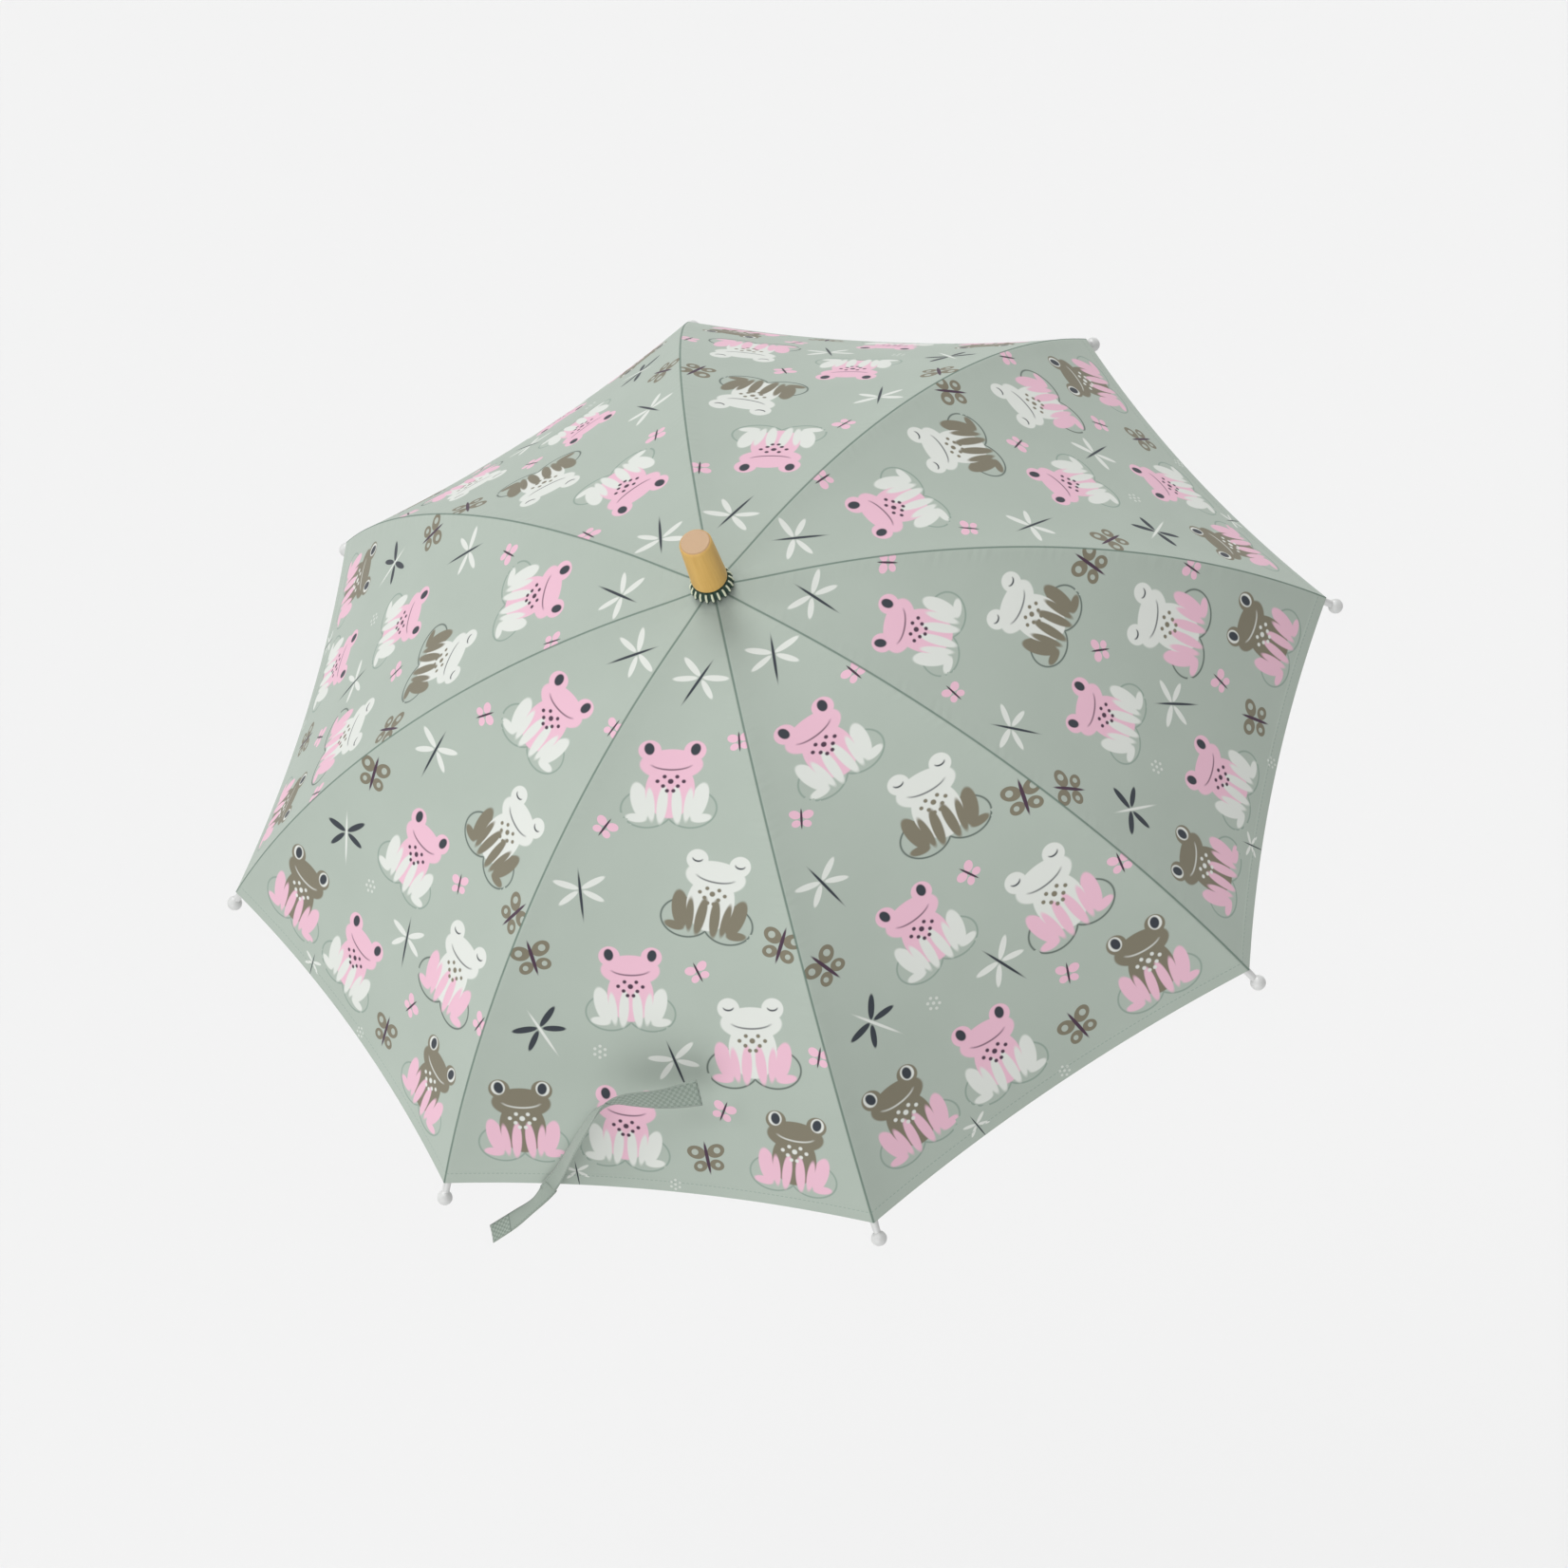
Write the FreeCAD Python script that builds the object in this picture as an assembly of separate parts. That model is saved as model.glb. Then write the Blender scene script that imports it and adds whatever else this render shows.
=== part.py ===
import FreeCAD, Part
import math
import os

# Child's stick umbrella, modelled open.
# Millimetres, +Z up the shaft, origin in the middle of the handle's straight grip.

V = FreeCAD.Vector
UP = V(0, 0, 1)
CENTRE = V(0, 0, 0)
os.makedirs("parts", exist_ok=True)

# heights along the shaft
TOP = 564.0  # flat end of the ferrule
FERRULE_BASE = 526.0
ROSETTE_BASE = 517.4
PIVOT_Z = 511.0  # rib hinges in the top notch
HANDLE_TOP = 58.0
CROOK_Z = -52.0  # centre of the handle's bend
SOCKET_Z = 13.0  # lower end of the shaft, inside the handle

# frame
SIDES = 8
STEP = 360.0 / SIDES
FIRST_RIB = 22.5  # azimuth of rib 1
PIVOT_R = 8.0  # hinge circle of ribs in the notch and of stretchers in the runner
RIB_ARC = 452.0  # radius of the rib's curve
LINK = 175.0  # rib hinge to stretcher rivet, and stretcher rivet to runner
RIB_END_R = 353.0
TIP_R = 360.0  # centre of the ball tips
RIB_WIDE = 1.4
RIB_HIGH = 2.6
EYE_R = 1.9
EYE_HOLE_R = 0.95
TAB_R = 2.4
RIVET_R = 0.8
RIVET_HOLE_R = 1.1
STRETCHER_WIDE = 3.8
STRETCHER_HIGH = 2.2
FORK_GAP = 2.0
FORK_DEEP = 11.5
EAR_R = 2.0
BALL_R = 4.75

# shaft, notch, runner, catches
SHAFT_R = 4.5
SHAFT_BORE_R = 3.7
HUB_R = 11.0
SLOT_ROOT_R = 5.8
SLOT_WIDE = 2.0
RING_WIRE_R = 0.6
RUNNER_BORE_R = 4.8
RUNNER_R = 8.2
RUNNER_LONG = 34.0
KEYWAY_R = 7.0
KEYWAY_WIDE = 2.4
CATCH_WIDE = 1.6
CATCH_REACH = 6.5
CATCH_TALL = 12.0
CLOSED_CATCH_Z = 150.0

# canopy
CLOTH_OFF = 3.6  # outer face above the ribs' centre line
CLOTH_THICK = 0.8
CROWN_R = 10.0  # edge of the hole under the rosette
CROWN_LIFT = 2.5
HEM_R = 353.0
HEM_RISE = 0.987  # share of the rib's curve that the middle of a panel reaches
SAG = 8.0  # how far the middle of a panel sinks between its ribs
SEAM_GAP = 0.15

STRAP_THICK = 1.2  # strap sewn to the hem of panel 6

ARC_Z = PIVOT_Z - math.sqrt(RIB_ARC**2 - PIVOT_R**2)
A_PIVOT = math.asin(PIVOT_R / RIB_ARC)
A_JOINT = A_PIVOT + 2 * math.asin(LINK / 2 / RIB_ARC)
A_END = math.asin(RIB_END_R / RIB_ARC)
A_TIP = math.asin(TIP_R / RIB_ARC)
JOINT_R = RIB_ARC * math.sin(A_JOINT)
JOINT_Z = ARC_Z + RIB_ARC * math.cos(A_JOINT)
RUNNER_Z = 2 * JOINT_Z - PIVOT_Z


def save(shape, name):
    shape.exportStep("parts/" + name + ".step")


def turned(shape, degrees):
    """A copy of shape turned about the shaft's axis."""
    shape = shape.copy()
    shape.rotate(CENTRE, UP, degrees)
    return shape


def rib_azimuth(number):
    return FIRST_RIB + STEP * (number - 1)


def on_arc(angle, off=0.0):
    """A point of the rib's curve, in the plane y = 0."""
    r = RIB_ARC + off
    return V(r * math.sin(angle), 0, ARC_Z + r * math.cos(angle))


def cross_pin(point, radius, length):
    """A cylinder across the rib's plane, centred on point."""
    return Part.makeCylinder(radius, length, point - V(0, length / 2, 0), V(0, 1, 0))


def slab(points, width):
    """A closed outline in the plane y = 0, thickened both ways."""
    face = Part.Face(Part.makePolygon(points + [points[0]]))
    face.translate(V(0, -width / 2, 0))
    return face.extrude(V(0, width, 0))


def lathe(profile):
    """A solid of revolution from (radius, height) points."""
    points = [V(r, 0, z) for r, z in profile]
    return Part.Face(Part.makePolygon(points + [points[0]])).revolve(CENTRE, UP, 360)


def slots(z_low, z_high):
    """The radial slots that the rib or stretcher eyes swing in."""
    cut = None
    for number in range(1, SIDES + 1):
        height = z_high - z_low + 2
        box = Part.makeBox(HUB_R, SLOT_WIDE, height, V(SLOT_ROOT_R, -SLOT_WIDE / 2, z_low - 1))
        box = turned(box, rib_azimuth(number))
        cut = box if cut is None else cut.fuse(box)
    return cut


def catch(z_low):
    """A sprung wedge in the shaft: its shoulder is on top."""
    outline = [
        V(0.5, 0, z_low),
        V(4.3, 0, z_low),
        V(CATCH_REACH, 0, z_low + CATCH_TALL - 2.5),
        V(CATCH_REACH, 0, z_low + CATCH_TALL),
        V(0.5, 0, z_low + CATCH_TALL),
    ]
    return slab(outline, CATCH_WIDE)


def catch_window(z_low):
    box = Part.makeBox(8, CATCH_WIDE + 0.6, CATCH_TALL + 0.6)
    box.translate(V(2, -(CATCH_WIDE + 0.6) / 2, z_low - 0.3))
    return box


# ---- shaft and handle -------------------------------------------------------
runner_low = RUNNER_Z - 4 - RUNNER_LONG
open_catch_z = runner_low - 0.4 - CATCH_TALL
shaft_top = FERRULE_BASE + 20
shaft_long = shaft_top - SOCKET_Z
shaft = Part.makeCylinder(SHAFT_R, shaft_long, V(0, 0, SOCKET_Z))
shaft = shaft.cut(Part.makeCylinder(SHAFT_BORE_R, shaft_long + 2, V(0, 0, SOCKET_Z - 1)))
shaft = shaft.cut(catch_window(open_catch_z)).cut(catch_window(CLOSED_CATCH_Z))
save(shaft, "shaft")
save(catch(open_catch_z), "open_catch")
save(catch(CLOSED_CATCH_Z), "closed_catch")

GRIP_R = 9.0
CROOK_R = 29.0
CROOK_LIP = 9.0
grip = lathe([
    (0, HANDLE_TOP - 1), (6.2, HANDLE_TOP - 1), (7.2, HANDLE_TOP - 2.2), (8.0, 48), (8.6, 36),
    (9.3, 14), (9.4, -4), (9.2, -24), (GRIP_R, -40), (GRIP_R, CROOK_Z), (0, CROOK_Z),
])
circle = Part.makeCircle(GRIP_R, V(0, 0, CROOK_Z), UP)
bend = Part.Face(Part.Wire(circle)).revolve(V(CROOK_R, 0, CROOK_Z), V(0, -1, 0), 180)
lip = Part.makeCylinder(GRIP_R, CROOK_LIP, V(2 * CROOK_R, 0, CROOK_Z))
knob = Part.makeSphere(GRIP_R, V(2 * CROOK_R, 0, CROOK_Z + CROOK_LIP))
handle = grip.fuse([bend, lip, knob]).removeSplitter()
socket = Part.makeCylinder(SHAFT_R, HANDLE_TOP - SOCKET_Z + 1, V(0, 0, SOCKET_Z))
handle = handle.cut(socket)
save(handle, "handle")

# ---- ferrule and rosette ----------------------------------------------------
ferrule = lathe([
    (0, FERRULE_BASE), (10.4, FERRULE_BASE), (11.1, FERRULE_BASE + 1.0),
    (11.2, FERRULE_BASE + 3.0), (10.1, TOP - 1.8), (9.6, TOP - 0.6), (8.6, TOP), (0, TOP),
])
ferrule = ferrule.cut(Part.makeCylinder(SHAFT_R, 20, V(0, 0, FERRULE_BASE)))
save(ferrule, "ferrule")

PLEATS = 26


def star(radius, depth, z):
    points = []
    for k in range(2 * PLEATS):
        r = radius - (depth if k % 2 else 0)
        a = math.pi * k / PLEATS
        points.append(V(r * math.cos(a), r * math.sin(a), z))
    return Part.makePolygon(points + [points[0]])


rosette = Part.makeLoft([star(14.2, 1.2, ROSETTE_BASE), star(12.2, 0.8, FERRULE_BASE - 0.1)], True)
rosette = rosette.cut(Part.makeCylinder(SHAFT_R + 0.05, 20, V(0, 0, ROSETTE_BASE - 5)))
save(rosette, "rosette")

# ---- top notch and runner ---------------------------------------------------
notch = Part.makeCylinder(HUB_R, 8, V(0, 0, PIVOT_Z - 4.5))
notch = notch.cut(Part.makeCylinder(SHAFT_R, 20, V(0, 0, PIVOT_Z - 10)))
notch = notch.cut(slots(PIVOT_Z - 4.5, PIVOT_Z + 3.5))
notch = notch.cut(Part.makeTorus(PIVOT_R, RING_WIRE_R, V(0, 0, PIVOT_Z)))
save(notch, "top_notch")
save(Part.makeTorus(PIVOT_R, RING_WIRE_R, V(0, 0, PIVOT_Z)), "notch_ring")

runner = lathe([
    (0, runner_low), (9.6, runner_low), (10.4, runner_low + 0.8), (10.4, runner_low + 3.2),
    (9.6, runner_low + 4), (RUNNER_R, runner_low + 5), (RUNNER_R, RUNNER_Z - 6),
    (HUB_R, RUNNER_Z - 4), (HUB_R, RUNNER_Z + 4), (0, RUNNER_Z + 4),
])
runner = runner.cut(Part.makeCylinder(RUNNER_BORE_R, 60, V(0, 0, runner_low - 5)))
keyway = Part.makeBox(KEYWAY_R, KEYWAY_WIDE, 60, V(0, -KEYWAY_WIDE / 2, runner_low - 5))
runner = runner.cut(keyway)
runner = runner.cut(slots(RUNNER_Z - 8, RUNNER_Z + 4))
runner = runner.cut(Part.makeTorus(PIVOT_R, RING_WIRE_R, V(0, 0, RUNNER_Z)))
save(runner, "runner")
save(Part.makeTorus(PIVOT_R, RING_WIRE_R, V(0, 0, RUNNER_Z)), "runner_ring")

# ---- ribs with their ball tips ----------------------------------------------
half = RIB_HIGH / 2
top_line = [on_arc(A_PIVOT, half), on_arc((A_PIVOT + A_END) / 2, half), on_arc(A_END, half)]
low_line = [on_arc(A_END, -half), on_arc((A_PIVOT + A_END) / 2, -half), on_arc(A_PIVOT, -half)]
edges = [
    Part.Arc(*top_line).toShape(),
    Part.makeLine(top_line[2], low_line[0]),
    Part.Arc(*low_line).toShape(),
    Part.makeLine(low_line[2], top_line[0]),
]
section = Part.Face(Part.Wire(edges))
section.translate(V(0, -RIB_WIDE / 2, 0))
rib = section.extrude(V(0, RIB_WIDE, 0))
pivot = on_arc(A_PIVOT)
joint = on_arc(A_JOINT)
rib = rib.fuse([cross_pin(pivot, EYE_R, RIB_WIDE), cross_pin(joint, TAB_R, RIB_WIDE)])
rib = rib.cut(cross_pin(pivot, EYE_HOLE_R, 4)).cut(cross_pin(joint, RIVET_HOLE_R, 4))

along = on_arc(A_TIP) - on_arc(A_TIP - 0.02)
along.normalize()
ball = on_arc(A_TIP)
stem_from = ball - along * 13.0
tip = Part.makeCone(2.5, 2.1, 12.0, stem_from, along)
tip = tip.fuse(Part.makeSphere(BALL_R, ball)).removeSplitter()
tip = tip.cut(rib)

# ---- stretchers with their rivets -------------------------------------------
far = LINK - FORK_DEEP
stretcher = Part.makeBox(20, RIB_WIDE, STRETCHER_HIGH, V(0, -RIB_WIDE / 2, -STRETCHER_HIGH / 2))
beam = Part.makeBox(LINK - 14, STRETCHER_WIDE, STRETCHER_HIGH)
beam.translate(V(14, -STRETCHER_WIDE / 2, -STRETCHER_HIGH / 2))
stretcher = stretcher.fuse([
    beam,
    cross_pin(CENTRE, EYE_R, RIB_WIDE),
    cross_pin(V(LINK, 0, 0), EAR_R, STRETCHER_WIDE),
])
fork = Part.makeBox(FORK_DEEP + 6, FORK_GAP, 12, V(far, -FORK_GAP / 2, -6))
stretcher = stretcher.cut(fork).cut(cross_pin(CENTRE, EYE_HOLE_R, 4))
stretcher = stretcher.cut(cross_pin(V(LINK, 0, 0), RIVET_R, 10))
rivet = cross_pin(V(LINK, 0, 0), RIVET_R, STRETCHER_WIDE + 0.8)
for side in (-1, 1):
    head = cross_pin(V(LINK, side * (STRETCHER_WIDE / 2 + 0.25), 0), 1.4, 0.5)
    rivet = rivet.fuse(head)
slope = math.degrees(math.atan2(JOINT_Z - RUNNER_Z, JOINT_R - PIVOT_R))
for shape in (stretcher, rivet):
    shape.rotate(CENTRE, V(0, -1, 0), slope)
    shape.translate(V(PIVOT_R, 0, RUNNER_Z))

for number in range(1, SIDES + 1):
    azimuth = rib_azimuth(number)
    save(turned(rib, azimuth), "rib_%d" % number)
    save(turned(tip, azimuth), "rib_tip_%d" % number)
    save(turned(stretcher, azimuth), "stretcher_%d" % number)
    save(turned(rivet, azimuth), "rivet_%d" % number)

# ---- canopy: each panel is two halves, joined along its middle --------------
A_CROWN = math.asin(CROWN_R / RIB_ARC)
A_HEM = math.asin(HEM_R / RIB_ARC)
HALF = math.radians(STEP / 2)


def cloth(angle, spread, sink=0.0):
    """A point of the outer face: radius at the rib plane times spread, sunk by sink."""
    r = (RIB_ARC + CLOTH_OFF) * math.sin(angle)
    z = ARC_Z + (RIB_ARC + CLOTH_OFF) * math.cos(angle)
    z += CROWN_LIFT * math.exp(-((r / 22.0) ** 2))
    return r * spread - sink * math.sin(angle), z - sink * math.cos(angle)


def half_panel(side):
    """Half a panel whose middle lies along +X; side -1 reaches the rib before it, +1 the next."""
    seam, middle = [], []
    for k in range(10):
        share = k / 9.0
        r, z = cloth(A_CROWN + (A_HEM - A_CROWN) * share, 1.0)
        across = V(math.sin(HALF), -math.cos(HALF), 0) * SEAM_GAP
        point = V(r * math.cos(HALF), r * math.sin(HALF), z) + across
        seam.append(V(point.x, side * point.y, point.z))
        angle = A_CROWN + (A_HEM * HEM_RISE - A_CROWN) * share
        r, z = cloth(angle, math.cos(HALF), SAG * math.sin(math.radians(100.0 * share)))
        middle.append(V(r, side * SEAM_GAP, z))
    curves = []
    for points in (seam, middle):
        curve = Part.BSplineCurve()
        curve.interpolate(points)
        curves.append(curve.toShape())
    face = Part.makeRuledSurface(curves[0], curves[1])
    return face.extrude(V(0, 0, -CLOTH_THICK))


first_half = half_panel(-1)
second_half = half_panel(1)
for number in range(1, SIDES + 1):
    azimuth = STEP * number
    save(turned(first_half, azimuth), "panel_%da" % number)
    save(turned(second_half, azimuth), "panel_%db" % number)

# ---- strap: two tails from one stitch line on the hem of panel 6 ------------
# Stations of each tail in the frame of a panel whose middle lies along +X:
# middle of the band, direction of its width, width.
HOOK_TAIL = [
    ((324.5, -68.9, 344.6), (0.00, 1.00, 0.00), 9.0),
    ((322.2, -61.1, 355.3), (0.54, 0.78, 0.32), 10.0),
    ((314.9, -50.0, 372.1), (0.55, 0.60, 0.58), 13.0),
    ((307.7, -40.2, 386.3), (0.53, 0.54, 0.66), 15.0),
    ((301.2, -31.0, 397.6), (0.51, 0.45, 0.74), 16.0),
    ((296.8, -21.6, 403.4), (0.35, 0.27, 0.90), 16.0),
    ((294.5, -9.6, 405.7), (0.03, 0.15, 0.99), 16.0),
    ((292.2, 10.8, 406.4), (-0.27, 0.10, 0.96), 16.0),
    ((286.9, 33.3, 408.7), (-0.73, 0.04, 0.69), 16.0),
]
LOOP_TAIL = [
    ((326.0, -69.6, 344.1), (0.00, 1.00, 0.00), 9.0),
    ((332.7, -78.2, 335.9), (0.65, 0.70, 0.29), 10.0),
    ((339.2, -92.0, 326.2), (0.70, 0.69, 0.20), 12.0),
    ((344.7, -109.4, 313.8), (0.73, 0.67, 0.10), 12.0),
]


def band(stations):
    sections = []
    for k, (middle, across, wide) in enumerate(stations):
        middle = V(*middle)
        along = V(*stations[min(k + 1, len(stations) - 1)][0]) - V(*stations[max(k - 1, 0)][0])
        along.normalize()
        across = V(*across)
        across = across - along * across.dot(along)
        across.normalize()
        a = across * (wide / 2)
        b = along.cross(across) * (STRAP_THICK / 2)
        corners = [middle + a + b, middle - a + b, middle - a - b, middle + a - b]
        sections.append(Part.makePolygon(corners + corners[:1]))
    return Part.makeLoft(sections, True, False)


save(turned(band(HOOK_TAIL), STEP * 6), "strap_hook_tail")
save(turned(band(LOOP_TAIL), STEP * 6), "strap_loop_tail")
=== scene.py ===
import bpy
import math
import numpy as np
from mathutils import Matrix, Vector


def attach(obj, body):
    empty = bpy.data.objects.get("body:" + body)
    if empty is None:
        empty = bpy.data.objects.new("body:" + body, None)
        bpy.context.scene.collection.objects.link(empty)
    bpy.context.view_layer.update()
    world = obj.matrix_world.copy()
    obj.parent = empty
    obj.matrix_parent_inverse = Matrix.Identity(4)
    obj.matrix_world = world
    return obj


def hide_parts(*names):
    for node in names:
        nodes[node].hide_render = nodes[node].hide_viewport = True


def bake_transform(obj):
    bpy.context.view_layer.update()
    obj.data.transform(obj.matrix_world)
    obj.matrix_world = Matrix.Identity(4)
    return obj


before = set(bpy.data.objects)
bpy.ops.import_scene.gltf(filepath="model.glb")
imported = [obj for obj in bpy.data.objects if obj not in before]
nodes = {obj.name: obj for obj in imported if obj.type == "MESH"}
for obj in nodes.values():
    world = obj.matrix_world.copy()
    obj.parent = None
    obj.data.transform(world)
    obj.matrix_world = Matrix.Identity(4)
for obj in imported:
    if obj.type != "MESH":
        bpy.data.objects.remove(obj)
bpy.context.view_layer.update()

# ---------------------------------------------------------------- dimensions (m)
RIB_ARC = 0.452  # radius of the ribs' curve
PIVOT_R = 0.008  # a rib's hinge: distance from the shaft's axis, and height
PIVOT_Z = 0.511
ARC_Z = PIVOT_Z - math.sqrt(RIB_ARC**2 - PIVOT_R**2)  # height of that curve's centre
CLOTH_OFF = 0.0036  # from the ribs' curve to the cloth's outer face
CLOTH_THICK = 0.0004
CLOTH_R = RIB_ARC + CLOTH_OFF
CROWN_R = 0.010  # hole at the crown
CROWN_LIFT = 0.0025  # rise of the cloth over the top notch
CROWN_SPREAD = 0.022  # how far out that rise reaches
HEM_R = 0.353  # from the shaft's axis to a rib's curve at the hem
HEM_RISE = 0.987  # the hem's reach at a panel's middle, as a share of its reach at the ribs
SAG = 0.008  # depth of a panel's middle below the ribs' sphere
SAG_TURN = math.radians(100)  # phase of the sag at the hem
HALF = math.radians(22.5)  # half a panel
A_CROWN = math.asin(CROWN_R / RIB_ARC)
A_HEM = math.asin(HEM_R / RIB_ARC)
ROWS, COLS = 116, 40  # cells of a half panel
ASPECT = 1.06  # a motif's width for its height


# ---------------------------------------------------------------- node helpers
def srgb(code):
    """A web colour as linear RGBA."""
    out = []
    for k in (1, 3, 5):
        c = int(code[k:k + 2], 16) / 255
        out.append(c / 12.92 if c <= 0.04045 else ((c + 0.055) / 1.055) ** 2.4)
    return (*out, 1.0)


class Tree:
    """Short names for building a node tree."""

    def __init__(self, tree):
        self.tree = tree

    def add(self, kind, **inputs):
        node = self.tree.nodes.new(kind)
        for key, value in inputs.items():
            self.plug(node.inputs[key], value)
        return node

    def plug(self, socket, value):
        if isinstance(value, bpy.types.NodeSocket):
            self.tree.links.new(value, socket)
        else:
            socket.default_value = value

    def math(self, op, a, b=0.0, c=0.0, clamp=False):
        node = self.tree.nodes.new("ShaderNodeMath")
        node.operation = op
        node.use_clamp = clamp
        for socket, value in zip(node.inputs, (a, b, c)):
            self.plug(socket, value)
        return node.outputs[0]

    def ramp(self, value, low, high, out_low=0.0, out_high=1.0):
        """value from low..high to out_low..out_high, clamped and smooth."""
        node = self.tree.nodes.new("ShaderNodeMapRange")
        node.interpolation_type = "SMOOTHSTEP"
        for socket, v in zip(node.inputs, (value, low, high, out_low, out_high)):
            self.plug(socket, v)
        return node.outputs[0]

    def mix(self, share, a, b, mode="MIX"):
        node = self.tree.nodes.new("ShaderNodeMix")
        node.data_type = "RGBA"
        node.blend_type = mode
        self.plug(node.inputs[0], share)
        self.plug(node.inputs[6], a)
        self.plug(node.inputs[7], b)
        return node.outputs[2]

    def split(self, vector):
        return self.add("ShaderNodeSeparateXYZ", Vector=vector).outputs

    def join(self, x, y, z=0.0):
        return self.add("ShaderNodeCombineXYZ", X=x, Y=y, Z=z).outputs[0]

    def noise(self, vector, scale, detail=2.0, rough=0.5):
        node = self.add("ShaderNodeTexNoise", Vector=vector, Scale=scale, Detail=detail, Roughness=rough)
        return node.outputs[0]


def material(name):
    mat = bpy.data.materials.new(name)
    mat.use_nodes = True
    mat.node_tree.nodes.clear()
    t = Tree(mat.node_tree)
    shader = t.add("ShaderNodeBsdfPrincipled")
    out = t.add("ShaderNodeOutputMaterial")
    t.tree.links.new(shader.outputs[0], out.inputs[0])
    return mat, t, shader


def setup(shader, colour=None, metallic=0.0, rough=0.5, specular=0.5, sheen=0.0):
    """Constant values, straight on the shader's sockets."""
    if colour is not None:
        shader.inputs["Base Color"].default_value = colour
    shader.inputs["Metallic"].default_value = metallic
    shader.inputs["Roughness"].default_value = rough
    shader.inputs["Specular IOR Level"].default_value = specular
    shader.inputs["Sheen Weight"].default_value = sheen
    shader.inputs["Sheen Roughness"].default_value = 0.5


def add_object(name, data):
    piece = bpy.data.objects.new(name, data)
    bpy.context.scene.collection.objects.link(piece)
    return piece


def spin(points, degrees):
    """points turned about the shaft's axis."""
    c, s = math.cos(math.radians(degrees)), math.sin(math.radians(degrees))
    return points @ np.array([[c, -s, 0], [s, c, 0], [0, 0, 1]]).T


# ---------------------------------------------------------------- print
SAGE = srgb("#9DA59C")
PINK = srgb("#D0A8B8")
WHITE = srgb("#C7CAC5")
OLIVE = srgb("#716C5C")
NAVY = srgb("#30353C")
PLUM = srgb("#43303F")
OUTLINE = srgb("#3F4B46")
FAINT = srgb("#7B8C82")

# kinds of motif: OLIVE_LEG and PINK_LEG are white frogs with legs of that colour
PINK_FROG, OLIVE_LEG, PINK_LEG, OLIVE_FROG, FLY, DARK_FLY, MOTH, OLIVE_MOTH, DOTS = range(1, 10)
# a panel's motifs: kind, middle (across the panel, and along it from the crown), half height,
# all in m, and turn in degrees
LAYOUT = [
    (FLY, 0.003, 0.068, 0.0175, -24),
    (PINK_FROG, -0.004, 0.136, 0.0310, 4),
    (MOTH, 0.036, 0.108, 0.0075, 12),
    (MOTH, -0.041, 0.170, 0.0075, -30),
    (FLY, -0.052, 0.214, 0.0165, 10),
    (OLIVE_LEG, 0.030, 0.207, 0.0305, -7),
    (PINK_FROG, -0.018, 0.270, 0.0290, 3),
    (OLIVE_MOTH, 0.076, 0.237, 0.0130, -14),
    (OLIVE_MOTH, -0.079, 0.257, 0.0125, 20),
    (MOTH, 0.024, 0.258, 0.0075, 30),
    (PINK_LEG, 0.060, 0.298, 0.0310, 5),
    (DARK_FLY, -0.072, 0.304, 0.0165, 35),
    (FLY, 0.012, 0.318, 0.0160, 24),
    (DOTS, -0.036, 0.314, 0.0060, 0),
    (MOTH, 0.103, 0.305, 0.0075, -8),
    (PINK_FROG, -0.020, 0.361, 0.0290, -3),
    (OLIVE_FROG, -0.085, 0.361, 0.0290, 2),
    (OLIVE_FROG, 0.087, 0.367, 0.0285, -4),
    (OLIVE_MOTH, 0.031, 0.378, 0.0120, 10),
    (MOTH, 0.042, 0.346, 0.0075, -20),
    (FLY, -0.052, 0.396, 0.0085, 8),
    (DOTS, 0.010, 0.398, 0.0050, 0),
]


def disc(t, x, y, cx, cy, rx, ry, turn=0.0, soft=0.03):
    """How far a point is inside an ellipse: 1 inside, 0 outside."""
    c, s = math.cos(math.radians(turn)), math.sin(math.radians(turn))
    dx, dy = t.math("SUBTRACT", x, cx), t.math("SUBTRACT", y, cy)
    a = t.math("MULTIPLY_ADD", dx, c / rx, t.math("MULTIPLY", dy, s / rx))
    b = t.math("MULTIPLY_ADD", dx, -s / ry, t.math("MULTIPLY", dy, c / ry))
    far = t.math("SQRT", t.math("MULTIPLY_ADD", a, a, t.math("MULTIPLY", b, b)))
    edge = soft / min(rx, ry)
    return t.ramp(far, 1 - edge / 2, 1 + edge / 2, 1.0, 0.0)


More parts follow.
